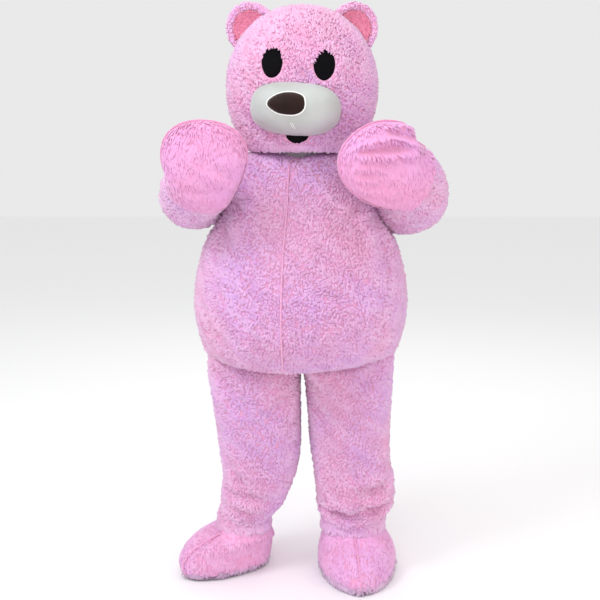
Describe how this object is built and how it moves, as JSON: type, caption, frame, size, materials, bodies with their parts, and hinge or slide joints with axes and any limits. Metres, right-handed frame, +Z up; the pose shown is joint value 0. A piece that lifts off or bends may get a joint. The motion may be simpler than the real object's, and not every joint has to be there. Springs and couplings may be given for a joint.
{
  "type": "bear mascot costume",
  "caption": "Hollow bear mascot costume in its wearer's pose: plush head with foam muzzle, wide plush suit with sleeves and legs, round mitts and shoe covers",
  "frame": {"origin": "on the centre line at the height of the wearer's shoulders, 1.36 m above the soles, where the wearer holds the costume up", "axes": "+Z up, +X to the wearer's left, -Y to the front"},
  "size_m": [0.8583, 0.6063, 1.8046],
  "materials": {
    "head_plush": "curly plush pile",
    "body_plush": "curly plush pile",
    "mitt_plush": "longer, smoother plush pile",
    "ear_lining": "short plush pile",
    "muzzle_satin": "smooth satin over foam",
    "nose_satin": "smooth cloth over foam",
    "black_gauze": "fine black gauze",
    "band_cloth": "plain knitted band",
    "sole_cloth": "shaggy grey-lilac cloth"
  },
  "bodies": {
    "root": {"head_front": "head_plush", "head_back": "head_plush", "ear_left_back": "head_plush", "ear_right_back": "head_plush", "torso_front_left": "body_plush", "torso_front_right": "body_plush", "torso_back_left": "body_plush", "torso_back_right": "body_plush", "sleeve_left_top": "body_plush", "sleeve_left_under": "body_plush", "sleeve_right_top": "body_plush", "sleeve_right_under": "body_plush", "leg_left_front": "body_plush", "leg_left_back": "body_plush", "leg_right_front": "body_plush", "leg_right_back": "body_plush", "mitt_left_back": "mitt_plush", "mitt_left_palm": "mitt_plush", "mitt_right_back": "mitt_plush", "mitt_right_palm": "mitt_plush", "foot_left_inner": "mitt_plush", "foot_left_outer": "mitt_plush", "foot_right_inner": "mitt_plush", "foot_right_outer": "mitt_plush", "ear_left_inner": "ear_lining", "ear_right_inner": "ear_lining", "muzzle": "muzzle_satin", "nose": "nose_satin", "eye_mesh_left": "black_gauze", "eye_mesh_right": "black_gauze", "mouth_mesh": "black_gauze", "neck_band": "band_cloth", "sole_left": "sole_cloth", "sole_right": "sole_cloth"}
  },
  "joints": []
}
